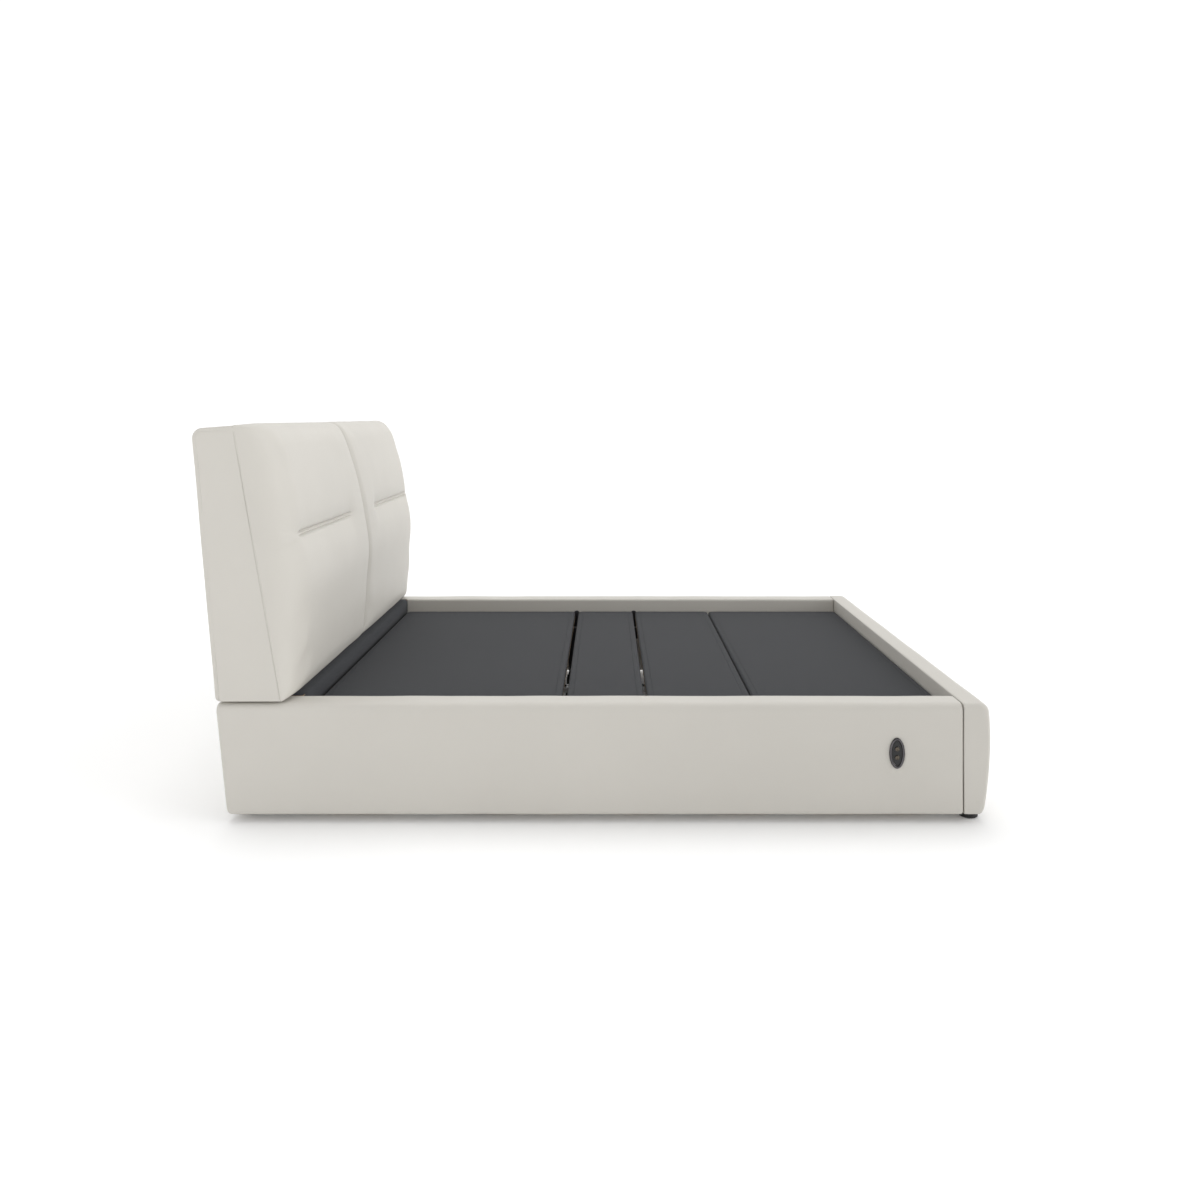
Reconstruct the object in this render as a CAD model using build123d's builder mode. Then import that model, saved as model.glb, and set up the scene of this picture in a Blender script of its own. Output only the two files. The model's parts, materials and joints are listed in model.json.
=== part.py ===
from build123d import *

import os
from math import hypot

# Adjustable bed base for a queen mattress: a leather-covered bed frame with a headboard,
# and inside it a four-section steel and plywood deck that two actuators lift.
#
# Frame: +X across the bed, +Y towards the headboard, +Z up, millimetres.
# Origin: on the floor under the middle of the bed. Left is -X, seen from the foot end.

# --- Driving dimensions: the upholstered bed -------------------------------------------
BED_WIDTH = 1720.0
RAIL_TOP = 363.0
FLOOR_GAP = 24.0
RAIL_THICKNESS = 90.0
CORE_THICKNESS = 27.0
RAIL_CAP = 30.0                 # padding above the rail's core board
RAIL_EDGE_RADIUS = 18.0
RAIL_FOOT_Y = -1134.0           # foot end of the side rails
FOOTBOARD_INNER_Y = -1137.5
FOOTBOARD_OUTER_Y = -1217.5     # crown of the footboard's outer face
RECESS_HEAD_Y = 905.0           # board that closes the mattress recess at the head end
REAR_TOP_Y = 1151.0
REAR_BOTTOM_Y = 1115.0
HALF_WIDTH = BED_WIDTH / 2
RECESS_X = HALF_WIDTH - RAIL_THICKNESS
CORE_X = RECESS_X + CORE_THICKNESS

# --- Driving dimensions: the headboard --------------------------------------------------
HEADBOARD_BOTTOM = 369.0
HEADBOARD_TOP = 1204.0
SEAM_BOTTOM_Y = 944.0           # seam between the flat side and the cushions, at the bottom
SEAM_TOP_Y = 1091.0
BACK_BOTTOM_Y = 1144.0
BACK_TOP_Y = 1218.0
SIDE_PANEL = 12.0
FRAME_BOARD = 18.0
CUSHION_GAP = 1.5               # half the gap between the two cushions

# --- Driving dimensions: the deck -------------------------------------------------------
DECK_TOP = 313.0
DECK_X = 730.0
DECK_PAD = 15.0
DECK_BOARD = 15.0
SECTION_TUBE = 25.0
TUBE_WALL = 2.0
PIVOT_R = 6.0
RUNNING_FIT = 0.05
HEAD_PIVOT = (93.0, 301.0)      # (Y, Z) of each pivot, deck flat
THIGH_PIVOT = (-177.0, 301.0)
KNEE_PIVOT = (-527.0, 272.0)
HEAD_SECTION_Y = (101.0, 893.0)
SEAT_SECTION_Y = (-171.0, 84.0)
THIGH_SECTION_Y = (-524.0, -183.0)
FOOT_SECTION_Y = (-1130.0, -530.0)
BOARD_TOP = DECK_TOP - DECK_PAD
BOARD_BOTTOM = BOARD_TOP - DECK_BOARD
SECTION_BOTTOM = BOARD_BOTTOM - SECTION_TUBE
SIDE_TUBE_X = (640.0, 665.0)    # side tubes of the head and thigh sections
FOOT_TUBE_X = (602.0, 627.0)    # side tubes of the foot section, inside the thigh's

# --- Driving dimensions: the steel base frame -------------------------------------------
FRAME_TUBE_X = (640.0, 670.0)
FRAME_TOP = SECTION_BOTTOM - 3.0
FRAME_BOTTOM = FRAME_TOP - 50.0
FRAME_Y = (-1100.0, 880.0)
LOW_TUBE_Z = (70.0, 100.0)
LOW_TUBE_WIDTH = 40.0

# --- Driving dimensions: actuators and the foot link ------------------------------------
HEAD_ACTUATOR_X = -120.0
HEAD_ACTUATOR_REAR = (-150.0, 170.0)
HEAD_LEVER_PIN = (124.3, 195.6)
LEG_ACTUATOR_X = 120.0
LEG_ACTUATOR_REAR = (100.0, 170.0)
LEG_LEVER_PIN = (-227.1, 122.8)
LINK_BASE_PIN = (-450.0, 200.0)
LINK_FOOT_PIN = (-712.5, 225.0)
LINK_X = (580.0, 588.0)
LEVER_THICKNESS = 8.0
LUG_R = 14.0
CHEEK_GAP = 10.0                # from the lever's middle to the fork's cheek
CHEEK_THICKNESS = 6.0

# --- Driving dimensions: the switch -----------------------------------------------------
SWITCH_Y = -930.5
SWITCH_Z = 214.0
SWITCH_WIDTH = 48.0
SWITCH_HEIGHT = 94.0
BUTTON_R = 7.0
BUTTON_SPACING = 26.0
SIDES = (("left", -1), ("right", 1))

# --- Bed bolts: where the corner brackets meet the side rails ---------------------------
BOLT_R = 4.0
BOLT_REACH = 18.0
BOLT_HEIGHTS = (130.0, 180.0)
BOLT_OFFSET = 50.0
CORNER_ENDS = ((FOOTBOARD_INNER_Y, 1), (RECESS_HEAD_Y, -1))
WELD_GAP = 0.3                  # between the members of one welded frame

os.makedirs("parts", exist_ok=True)


def save(builder, label):
    """Name one finished sub-part and write it."""
    builder.part.label = label
    export_step(builder.part, f"parts/{label}.step")


def block(x, y, z, mode=Mode.ADD):
    """A box from its (low, high) pair on each axis."""
    with Locations((sum(x) / 2, sum(y) / 2, sum(z) / 2)):
        Box(abs(x[1] - x[0]), abs(y[1] - y[0]), abs(z[1] - z[0]), mode=mode)


def span(side, low, high):
    """An X range on one side of the bed, in rising order."""
    return (side * low, side * high) if side > 0 else (side * high, side * low)


def tube(x, y, z, along):
    """A rectangular steel tube, open at both ends."""
    block(x, y, z)
    inner = []
    for axis, (low, high) in zip("XYZ", (x, y, z)):
        inner.append((low, high) if axis == along else (low + TUBE_WALL, high - TUBE_WALL))
    block(*inner, mode=Mode.SUBTRACT)


def disc(x, centre, radius, mode=Mode.ADD):
    """A cylinder along X through a (Y, Z) centre."""
    with Locations(Location((sum(x) / 2, *centre), (0, 90, 0))):
        Cylinder(radius, abs(x[1] - x[0]), mode=mode)


def side_plate(x, points, mode=Mode.ADD):
    """A (Y, Z) polygon extruded from x[0] to x[1]."""
    with BuildSketch(Plane.YZ.offset(x[0])) as outline:
        with BuildLine():
            Polyline(*points, close=True)
        make_face()
    extrude(outline.sketch, amount=x[1] - x[0], mode=mode)


def oval_plate(x, width, height, mode=Mode.ADD):
    """An ellipse around the switch's centre, extruded from x[0] to x[1]."""
    with BuildSketch(Plane.YZ.offset(x[0])) as oval:
        with Locations((SWITCH_Y, SWITCH_Z)):
            Ellipse(width / 2, height / 2)
    extrude(oval.sketch, amount=x[1] - x[0], mode=mode)


def seam_y(z):
    """Y of the headboard's front seam at a height."""
    share = (z - HEADBOARD_BOTTOM) / (HEADBOARD_TOP - HEADBOARD_BOTTOM)
    return SEAM_BOTTOM_Y + share * (SEAM_TOP_Y - SEAM_BOTTOM_Y)


def back_y(z):
    """Y of the headboard's back face at a height."""
    share = (z - HEADBOARD_BOTTOM) / (HEADBOARD_TOP - HEADBOARD_BOTTOM)
    return BACK_BOTTOM_Y + share * (BACK_TOP_Y - BACK_BOTTOM_Y)


# --- Side rails: a plywood core with foam and leather outside and on top ----------------
for name, side in SIDES:
    with BuildPart() as rail_core:
        block(span(side, RECESS_X, CORE_X), (RAIL_FOOT_Y, 1086.0), (FLOOR_GAP, RAIL_TOP - RAIL_CAP))
        for y, way in CORNER_ENDS:
            for z in BOLT_HEIGHTS:
                hole = span(side, RECESS_X - 1, RECESS_X + BOLT_REACH)
                disc(hole, (y + way * BOLT_OFFSET, z), BOLT_R, mode=Mode.SUBTRACT)
    save(rail_core, f"{name}_rail_core")

    with BuildPart() as rail_pad:
        outer_x = span(side, CORE_X, HALF_WIDTH)
        with BuildSketch(Plane.YZ.offset(outer_x[0])):
            with BuildLine():
                Polyline(
                    (RAIL_FOOT_Y, FLOOR_GAP),
                    (REAR_BOTTOM_Y, FLOOR_GAP),
                    (REAR_TOP_Y, RAIL_TOP),
                    (RAIL_FOOT_Y, RAIL_TOP),
                    close=True,
                )
            face = make_face()
            fillet(face.vertices().sort_by(Axis.X)[-2:], 20)
        extrude(amount=HALF_WIDTH - CORE_X)
        outer_edge = rail_pad.edges().filter_by(Axis.Y).group_by(Axis.Z)[-1].sort_by(Axis.X)
        fillet(outer_edge[-1] if side > 0 else outer_edge[0], RAIL_EDGE_RADIUS)
        block(span(side, RECESS_X, CORE_X), (RAIL_FOOT_Y, 1103.0), (RAIL_TOP - RAIL_CAP, RAIL_TOP))
        if side < 0:
            pocket = (-HALF_WIDTH - 1, -HALF_WIDTH + 32)
            oval_plate(pocket, SWITCH_WIDTH - 5, SWITCH_HEIGHT - 5, mode=Mode.SUBTRACT)
    save(rail_pad, f"{name}_rail_pad")

# --- Footboard: a core board inside a padded, slightly barrel-shaped cover --------------
FOOT_CORE_Y = (FOOTBOARD_INNER_Y - CORE_THICKNESS, FOOTBOARD_INNER_Y)
FOOT_CORE_X = (-HALF_WIDTH + 30, HALF_WIDTH - 30)
FOOT_CORE_Z = (FLOOR_GAP, RAIL_TOP - RAIL_CAP)
with BuildPart() as footboard_core:
    block(FOOT_CORE_X, FOOT_CORE_Y, FOOT_CORE_Z)
save(footboard_core, "footboard_core")

with BuildPart() as footboard_pad:
    with BuildSketch(Plane.YZ.offset(-HALF_WIDTH)):
        with BuildLine():
            ThreePointArc(
                (FOOTBOARD_OUTER_Y + 12, FLOOR_GAP),
                (FOOTBOARD_OUTER_Y, 0.65 * RAIL_TOP),
                (FOOTBOARD_OUTER_Y + 8, RAIL_TOP),
            )
            Polyline(
                (FOOTBOARD_OUTER_Y + 8, RAIL_TOP),
                (FOOTBOARD_INNER_Y, RAIL_TOP),
                (FOOTBOARD_INNER_Y, FLOOR_GAP),
                (FOOTBOARD_OUTER_Y + 12, FLOOR_GAP),
            )
        profile = make_face()
        fillet(profile.vertices().sort_by(Axis.X)[:2], 26)
    extrude(amount=BED_WIDTH)
    block(FOOT_CORE_X, FOOT_CORE_Y, FOOT_CORE_Z, mode=Mode.SUBTRACT)
save(footboard_pad, "footboard_pad")

# --- Head end of the base: recess board, shelf, bar and the leaning rear panel ----------
with BuildPart() as recess_head_board:
    block((-RECESS_X, RECESS_X), (RECESS_HEAD_Y, RECESS_HEAD_Y + FRAME_BOARD), (FLOOR_GAP + 16, 345))
save(recess_head_board, "recess_head_board")

with BuildPart() as headboard_shelf:
    block((-RECESS_X, RECESS_X), (RECESS_HEAD_Y, 1096), (345, RAIL_TOP - 2))
    block((-RECESS_X, RECESS_X), (1066, 1096), (285, 345))
save(headboard_shelf, "headboard_shelf")

REAR_LAYERS = (("rear_panel_pad", 0, 10), ("rear_panel_board", 10, 28))
for label, outer, inner in REAR_LAYERS:
    with BuildPart() as rear_layer:
        side_plate(
            (-CORE_X, CORE_X),
            [
                (REAR_BOTTOM_Y - outer, FLOOR_GAP + 4),
                (REAR_TOP_Y - outer - 2, RAIL_TOP - 16),
                (REAR_TOP_Y - inner - 2, RAIL_TOP - 16),
                (REAR_BOTTOM_Y - inner, FLOOR_GAP + 4),
            ],
        )
        if outer == 0:
            block((-CORE_X, CORE_X), (1104, REAR_TOP_Y - 8), (RAIL_TOP - 16, RAIL_TOP - 3))
    save(rear_layer, label)

# --- Headboard --------------------------------------------------------------------------
for name, side in SIDES:
    with BuildPart() as headboard_side:
        side_x = span(side, HALF_WIDTH - SIDE_PANEL, HALF_WIDTH)
        with BuildSketch(Plane.YZ.offset(side_x[0])):
            with BuildLine():
                Polyline(
                    (SEAM_BOTTOM_Y, HEADBOARD_BOTTOM),
                    (BACK_BOTTOM_Y, HEADBOARD_BOTTOM),
                    (BACK_TOP_Y, HEADBOARD_TOP - 12),
                    (SEAM_TOP_Y, HEADBOARD_TOP),
                    close=True,
                )
            face = make_face()
            fillet(face.vertices().sort_by(Axis.X)[-1], 30)
        extrude(amount=SIDE_PANEL)
    save(headboard_side, f"headboard_{name}_side")

FRAME_X = HALF_WIDTH - SIDE_PANEL - FRAME_BOARD
with BuildPart() as headboard_frame:
    for name, side in SIDES:
        side_plate(
            span(side, FRAME_X, FRAME_X + FRAME_BOARD),
            [
                (seam_y(372) + 12, 372),
                (back_y(372) - 12, 372),
                (back_y(1150) - 14, 1150),
                (seam_y(1170) + 16, 1170),
                (seam_y(1170) + 12, 1170),
            ],
        )
    bar_x = (-FRAME_X + WELD_GAP, FRAME_X - WELD_GAP)
    for low, high in ((372, 452), (760, 820), (1090, 1150)):
        block(bar_x, (back_y(low) - 40, back_y(low) - 12), (low, high))
save(headboard_frame, "headboard_frame")

with BuildPart() as headboard_front_board:
    side_plate(
        (-FRAME_X - FRAME_BOARD, FRAME_X + FRAME_BOARD),
        [
            (seam_y(372) + 0.5, 372),
            (seam_y(372) + 11, 372),
            (seam_y(1190) + 11, 1190),
            (seam_y(1190) + 0.5, 1190),
        ],
    )
save(headboard_front_board, "headboard_front_board")

with BuildPart() as headboard_back_panel:
    side_plate(
        (-FRAME_X - FRAME_BOARD, FRAME_X + FRAME_BOARD),
        [
            (back_y(370) - 11, 370),
            (back_y(370), 370),
            (back_y(1150) + 1, 1160),
            (back_y(1150) - 14, 1184),
            (seam_y(1190) + 14, 1200),
            (seam_y(1190) + 14, 1190),
            (back_y(1150) - 22, 1175),
            (back_y(1150) - 11, 1155),
        ],
    )
save(headboard_back_panel, "headboard_back_panel")

for name, side in SIDES:
    with BuildPart() as headboard_cushion:
        cushion_x = span(side, CUSHION_GAP, HALF_WIDTH)
        with BuildSketch(Plane.YZ.offset(cushion_x[0])):
            with BuildLine():
                front = Spline(
                    (912, HEADBOARD_BOTTOM),
                    (899, 480),
                    (893, 700),
                    (911, 887),
                    (944, 1022),
                    (984, 1150),
                    (1038, 1207),
                )
                Line(front @ 1, (seam_y(HEADBOARD_TOP), HEADBOARD_TOP))
                Line((seam_y(HEADBOARD_TOP), HEADBOARD_TOP), (seam_y(HEADBOARD_BOTTOM), HEADBOARD_BOTTOM))
                Line((seam_y(HEADBOARD_BOTTOM), HEADBOARD_BOTTOM), front @ 0)
            make_face()
        extrude(amount=cushion_x[1] - cushion_x[0])
        outer_front = headboard_cushion.edges().filter_by(GeomType.BSPLINE).sort_by(Axis.X)
        fillet(outer_front[-1] if side > 0 else outer_front[0], 32)
    save(headboard_cushion, f"headboard_{name}_cushion")

with BuildPart() as headboard_brackets:
    for x in (-560, -190, 190, 560):
        block((x - 25, x + 25), (1096, 1102), (292, 445))
save(headboard_brackets, "headboard_brackets")

# --- Floor glides and centre legs -------------------------------------------------------
CORNER_GLIDE_R = 29.0
SIDE_GLIDE_R = 24.0
LEG_FOOT = 10.0
LEG_SPOTS = ((-865.0, FRAME_BOTTOM), (-150.0, LOW_TUBE_Z[0]), (100.0, LOW_TUBE_Z[0]), (650.0, FRAME_BOTTOM))
CORNER_SPOTS = [(side * 800, FOOTBOARD_INNER_Y - 31.5, 0) for name, side in SIDES]
SIDE_SPOTS = [(side * 770, y, 0) for name, side in SIDES for y in (-350, 350, 1050)]
with BuildPart() as floor_glides:
    for radius, spots in ((CORNER_GLIDE_R, CORNER_SPOTS), (SIDE_GLIDE_R, SIDE_SPOTS)):
        with Locations(*spots):
            Cylinder(radius, FLOOR_GAP, align=(Align.CENTER, Align.CENTER, Align.MIN))
    with Locations(*[(0, y, 0) for y, top in LEG_SPOTS]):
        Cylinder(25, LEG_FOOT, align=(Align.CENTER, Align.CENTER, Align.MIN))
    chamfer(floor_glides.edges().filter_by(GeomType.CIRCLE).group_by(Axis.Z)[0], 3)
save(floor_glides, "floor_glides")

with BuildPart() as centre_legs:
    for y, top in LEG_SPOTS:
        with Locations((0, y, LEG_FOOT)):
            Cylinder(19, top - LEG_FOOT, align=(Align.CENTER, Align.CENTER, Align.MIN))
            Cylinder(16, top - LEG_FOOT, align=(Align.CENTER, Align.CENTER, Align.MIN), mode=Mode.SUBTRACT)
save(centre_legs, "centre_legs")

# --- Steel base frame -------------------------------------------------------------------
with BuildPart() as base_frame:
    for name, side in SIDES:
        tube(span(side, *FRAME_TUBE_X), FRAME_Y, (FRAME_BOTTOM, FRAME_TOP), "Y")
    bar_x = (-FRAME_TUBE_X[0] + WELD_GAP, FRAME_TUBE_X[0] - WELD_GAP)
    for y in (-1085.0, -865.0, 650.0, 865.0):
        tube(bar_x, (y - 15, y + 15), (FRAME_BOTTOM, FRAME_TOP - 15), "X")
save(base_frame, "base_frame")

ACTUATOR_REARS = (
    (HEAD_ACTUATOR_X, HEAD_ACTUATOR_REAR),
    (LEG_ACTUATOR_X, LEG_ACTUATOR_REAR),
)
LOW_TUBE_END = FRAME_TUBE_X[0] - 6
with BuildPart() as actuator_cross_tubes:
    for x, (y, z) in ACTUATOR_REARS:
        tube(
            (-LOW_TUBE_END, LOW_TUBE_END),
            (y - LOW_TUBE_WIDTH / 2, y + LOW_TUBE_WIDTH / 2),
            LOW_TUBE_Z,
            "X",
        )
save(actuator_cross_tubes, "actuator_cross_tubes")

with BuildPart() as frame_brackets:
    for name, side in SIDES:
        for x, (y, z) in ACTUATOR_REARS:
            block(span(side, LOW_TUBE_END, FRAME_TUBE_X[0]), (y - 28, y + 28), (LOW_TUBE_Z[0], FRAME_TOP))
        for y in (780.0, 330.0, -330.0, -960.0):
            block(span(side, FRAME_TUBE_X[0], RECESS_X), (y - 30, y + 30), (FRAME_BOTTOM - 5, FRAME_BOTTOM))
            block(span(side, RECESS_X - 5, RECESS_X), (y - 30, y + 30), (FRAME_BOTTOM, FRAME_BOTTOM + 60))
        block(span(side, 645, 665), (-160, 75), (FRAME_TOP, BOARD_BOTTOM))
save(frame_brackets, "frame_brackets")

BUMPER_GAP = 0.4
with BuildPart() as deck_bumpers:
    for name, side in SIDES:
        for y in (200.0, 800.0, -300.0, -460.0):
            block(span(side, 645, 660), (y - 12, y + 12), (FRAME_TOP, SECTION_BOTTOM - BUMPER_GAP))
        for y in (-640.0, -1050.0):
            block(span(side, 645, 665), (y - 15, y + 15), (FRAME_TOP, BOARD_BOTTOM - BUMPER_GAP))
save(deck_bumpers, "deck_bumpers")

# --- Corner brackets and bed bolts ------------------------------------------------------
BRACKET_Z = (110.0, 200.0)
with BuildPart() as corner_brackets:
    for name, side in SIDES:
        for y, way in CORNER_ENDS:
            block(span(side, RECESS_X - 5, RECESS_X), sorted((y + way * 4, y + way * 75)), BRACKET_Z)
            block(span(side, RECESS_X - 70, RECESS_X), sorted((y, y + way * 5)), BRACKET_Z)
            for z in BOLT_HEIGHTS:
                hole = span(side, RECESS_X - 6, RECESS_X + 1)
                disc(hole, (y + way * BOLT_OFFSET, z), BOLT_R + 0.5, mode=Mode.SUBTRACT)
save(corner_brackets, "corner_brackets")

with BuildPart() as bed_bolts:
    for name, side in SIDES:
        for y, way in CORNER_ENDS:
            for z in BOLT_HEIGHTS:
                spot = (y + way * BOLT_OFFSET, z)
                disc(span(side, RECESS_X - 11, RECESS_X - 5), spot, 9)
                disc(span(side, RECESS_X - 5, RECESS_X + BOLT_REACH), spot, BOLT_R)
save(bed_bolts, "bed_bolts")


# --- Deck sections ----------------------------------------------------------------------
def deck_layer(label, y, z):
    """One flat layer of a deck section, with eased corners."""
    with BuildPart() as layer:
        block((-DECK_X, DECK_X), y, z)
        fillet(layer.edges().filter_by(Axis.Z), 6)
    save(layer, label)


SECTIONS = {
    "head": HEAD_SECTION_Y,
    "seat": SEAT_SECTION_Y,
    "thigh": THIGH_SECTION_Y,
    "foot": FOOT_SECTION_Y,
}
for name, y in SECTIONS.items():
    deck_layer(f"{name}_board", y, (BOARD_BOTTOM, BOARD_TOP))
    deck_layer(f"{name}_pad", y, (BOARD_TOP, DECK_TOP))

TUBE_Z = (SECTION_BOTTOM, BOARD_BOTTOM)
FRAMES = {
    "head": (SIDE_TUBE_X, (110.0, 870.0), (122.5, 480.0, 857.5)),
    "thigh": (SIDE_TUBE_X, (-510.0, -200.0), (-420.0, -227.5)),
    "foot": (FOOT_TUBE_X, (-1110.0, -545.0), (-1097.5, -557.5)),
}
for name, (side_x, y, crossings) in FRAMES.items():
    with BuildPart() as section_frame:
        for rail, side in SIDES:
            tube(span(side, *side_x), y, TUBE_Z, "Y")
        for centre in crossings:
            bar_y = (centre - SECTION_TUBE / 2, centre + SECTION_TUBE / 2)
            tube((-side_x[0] + WELD_GAP, side_x[0] - WELD_GAP), bar_y, TUBE_Z, "X")
    save(section_frame, f"{name}_frame")

# --- Deck hinges ------------------------------------------------------------------------
MOVING_PLATE_X = (731.0, 736.0)
FIXED_PLATE_X = (737.0, 742.0)
with BuildPart() as fixed_hinge_brackets:
    for name, side in SIDES:
        for y, z in (HEAD_PIVOT, THIGH_PIVOT):
            block(span(side, *FIXED_PLATE_X), (y - 30, y + 30), (FRAME_BOTTOM, z - 10))
            block(span(side, *FIXED_PLATE_X), (y - 14, y + 14), (z - 11, z))
            disc(span(side, *FIXED_PLATE_X), (y, z), 14)
            block(span(side, FRAME_TUBE_X[1], FIXED_PLATE_X[0]), (y - 30, y + 30), (FRAME_BOTTOM, FRAME_BOTTOM + 6))
            disc(span(side, MOVING_PLATE_X[0], FIXED_PLATE_X[1] + 3), (y, z), PIVOT_R)
            disc(span(side, FIXED_PLATE_X[1], FIXED_PLATE_X[1] + 4), (y, z), PIVOT_R + 3)
save(fixed_hinge_brackets, "fixed_hinge_brackets")

HINGES = (("head", HEAD_PIVOT, 1), ("thigh", THIGH_PIVOT, -1))
for name, (y, z), way in HINGES:
    with BuildPart() as hinge_plates:
        for rail, side in SIDES:
            plate_y = sorted((y + way * 2, y + way * 90))
            block(span(side, *MOVING_PLATE_X), plate_y, (BOARD_BOTTOM - 6, z + 4))
            disc(span(side, *MOVING_PLATE_X), (y, z), 14)
            flange_y = sorted((y + way * 40, y + way * 90))
            block(span(side, SIDE_TUBE_X[1], MOVING_PLATE_X[1]), flange_y, (BOARD_BOTTOM - 6, BOARD_BOTTOM))
            disc(span(side, *MOVING_PLATE_X), (y, z), PIVOT_R + RUNNING_FIT, mode=Mode.SUBTRACT)
    save(hinge_plates, f"{name}_hinge_plates")

# --- Knee hinge between the thigh and foot sections -------------------------------------
KNEE_Y, KNEE_Z = KNEE_PIVOT
KNEE_LUG_R = 10.5
THIGH_KNEE_X = (634.0, 640.0)
FOOT_KNEE_X = (627.0, 633.0)
with BuildPart() as thigh_knee_plates:
    for name, side in SIDES:
        block(span(side, *THIGH_KNEE_X), (KNEE_Y, KNEE_Y + 90), (KNEE_Z - KNEE_LUG_R, KNEE_Z + KNEE_LUG_R))
        disc(span(side, *THIGH_KNEE_X), KNEE_PIVOT, KNEE_LUG_R)
        disc(span(side, FOOT_KNEE_X[0] - 1, THIGH_KNEE_X[0]), KNEE_PIVOT, PIVOT_R)
save(thigh_knee_plates, "thigh_knee_plates")

with BuildPart() as foot_knee_plates:
    for name, side in SIDES:
        block(span(side, *FOOT_KNEE_X), (KNEE_Y - 90, KNEE_Y), (KNEE_Z - KNEE_LUG_R, KNEE_Z + KNEE_LUG_R))
        disc(span(side, *FOOT_KNEE_X), KNEE_PIVOT, KNEE_LUG_R)
        disc(span(side, *FOOT_KNEE_X), KNEE_PIVOT, PIVOT_R + RUNNING_FIT, mode=Mode.SUBTRACT)
save(foot_knee_plates, "foot_knee_plates")


# --- Levers on the head and thigh sections ----------------------------------------------
def lever(label, x, pin, bar_y):
    """A plate that hangs from a crossbar, with a pin boss at its lower end."""
    plate_x = (x - LEVER_THICKNESS / 2, x + LEVER_THICKNESS / 2)
    half = LUG_R - 2
    with BuildPart() as arm:
        side_plate(
            plate_x,
            [
                (pin[0] - half, pin[1]),
                (pin[0] + half, pin[1]),
                (bar_y + SECTION_TUBE / 2, SECTION_BOTTOM),
                (bar_y - SECTION_TUBE / 2, SECTION_BOTTOM),
            ],
        )
        disc(plate_x, pin, LUG_R)
        disc((x - CHEEK_GAP + 1.5, x + CHEEK_GAP - 1.5), pin, PIVOT_R + 2)
    save(arm, label)


lever("head_lever", HEAD_ACTUATOR_X, HEAD_LEVER_PIN, 122.5)
lever("thigh_lever", LEG_ACTUATOR_X, LEG_LEVER_PIN, -227.5)

# --- Rear mounts of the actuators, with their pins --------------------------------------
EYE_HALF = 8.0
with BuildPart() as actuator_mounts:
    for x, (y, z) in ACTUATOR_REARS:
        for cheek in ((x - 14, x - EYE_HALF - 1), (x + EYE_HALF + 1, x + 14)):
            block(cheek, (y - LUG_R, y + LUG_R), (LOW_TUBE_Z[1], z))
            disc(cheek, (y, z), LUG_R)
        disc((x - 17, x + 17), (y, z), PIVOT_R)
save(actuator_mounts, "actuator_mounts")


# --- Actuators --------------------------------------------------------------------------
GEARBOX = (20.0, 62.0)
OUTER_TUBE_END = 190.0
ROD_START = 50.0


def actuator(name, x, rear, front, motor_side):
    """A linear actuator: gearbox, motor and outer tube, and the rod with its fork."""
    reach = hypot(front[0] - rear[0], front[1] - rear[1])
    line = Plane(
        origin=(x, *rear),
        x_dir=(1, 0, 0),
        z_dir=(0, front[0] - rear[0], front[1] - rear[1]),
    )
    with BuildPart(line) as body:
        disc((-EYE_HALF, EYE_HALF), (0, 0), LUG_R - 1)
        block((-EYE_HALF, EYE_HALF), (-9, 9), (0, GEARBOX[0] + 2))
        motor_x = motor_side * 45
        block(sorted((-motor_side * 22, motor_x + motor_side * 22)), (-22, 22), GEARBOX)
        long_edges = body.edges().filter_by(Axis(line.origin, line.z_dir)).group_by(SortBy.LENGTH)[-1]
        fillet(long_edges, 6)
        with Locations((0, 0, GEARBOX[1])):
            Cylinder(17, OUTER_TUBE_END - GEARBOX[1], align=(Align.CENTER, Align.CENTER, Align.MIN))
        with Locations((motor_x, 0, GEARBOX[1])):
            Cylinder(20, 86, align=(Align.CENTER, Align.CENTER, Align.MIN))
        with Locations((0, 0, ROD_START - 2)):
            bore = OUTER_TUBE_END - ROD_START + 2
            Cylinder(10.4, bore, align=(Align.CENTER, Align.CENTER, Align.MIN), mode=Mode.SUBTRACT)
        disc((-EYE_HALF, EYE_HALF), (0, 0), PIVOT_R + RUNNING_FIT, mode=Mode.SUBTRACT)
    save(body, f"{name}_actuator_body")

    with BuildPart(line) as rod:
        with Locations((0, 0, ROD_START)):
            Cylinder(10, reach - 42 - ROD_START, align=(Align.CENTER, Align.CENTER, Align.MIN))
        outer = CHEEK_GAP + CHEEK_THICKNESS
        block((-outer, outer), (-11, 11), (reach - 50, reach - 40))
        for cheek in ((-outer, -CHEEK_GAP), (CHEEK_GAP, outer)):
            block(cheek, (-11, 11), (reach - 41, reach))
            disc(cheek, (0, reach), 11)
        for head in ((-outer - 3, -outer), (outer, outer + 3)):
            disc(head, (0, reach), 8)
    save(rod, f"{name}_actuator_rod")


actuator("head", HEAD_ACTUATOR_X, HEAD_ACTUATOR_REAR, HEAD_LEVER_PIN, -1)
actuator("leg", LEG_ACTUATOR_X, LEG_ACTUATOR_REAR, LEG_LEVER_PIN, 1)

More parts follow.
